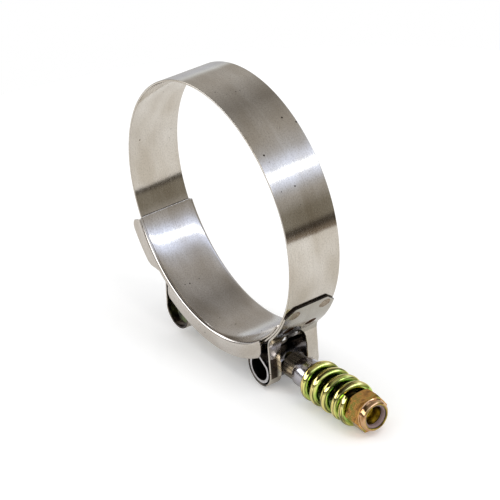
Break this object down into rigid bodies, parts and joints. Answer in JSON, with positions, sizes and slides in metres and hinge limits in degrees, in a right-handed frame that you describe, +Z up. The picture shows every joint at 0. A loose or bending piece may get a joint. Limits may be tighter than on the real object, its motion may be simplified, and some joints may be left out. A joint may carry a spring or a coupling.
{
  "type": "t bolt clamp",
  "caption": "Round band clamp in folded stainless strip with two loops, a flanged bridge, a T-shaped bolt, a spacer, a coil spring and a lock nut.",
  "frame": {"origin": "on the surface that the clamp stands on, under the middle of its whole length and width", "axes": "+X along the bolt towards the nut, +Y along the hose, +Z up through the band"},
  "size_m": [0.1142, 0.0216, 0.0983],
  "materials": {
    "rolled_stainless": "bright rolled",
    "bridge_stainless": "bright rolled",
    "gold_zinc": "yellow zinc plated",
    "plain_zinc": "plain zinc plated",
    "turned_steel": "turned and polished",
    "lime_zinc": "yellow zinc plated",
    "bronze_zinc": "yellow zinc plated",
    "nylon": "plain moulded"
  },
  "bodies": {
    "clamp": {"band": "rolled_stainless", "bridge": "bridge_stainless", "t_bolt": "gold_zinc", "trunnion": "plain_zinc", "spacer": "turned_steel"},
    "spring_stack": {"spring": "lime_zinc"},
    "nut": {"lock_nut": "bronze_zinc", "nylon_insert": "nylon"}
  },
  "joints": [
    {"name": "nut_travel", "type": "slide", "parent": "clamp", "child": "spring_stack", "axis": [-1, 0, 0], "range_m": [0, 0.006], "deforming": ["spring"]},
    {"name": "nut_turn", "type": "hinge", "parent": "spring_stack", "child": "nut", "pos_m": [0.0492, 0, 0.0071], "axis": [-1, 0, 0], "range_deg": [0, 2381.2]}
  ],
  "couplings": [
    {"joint": "nut_turn", "follows": "nut_travel", "rad_per_m": 6926.4}
  ]
}
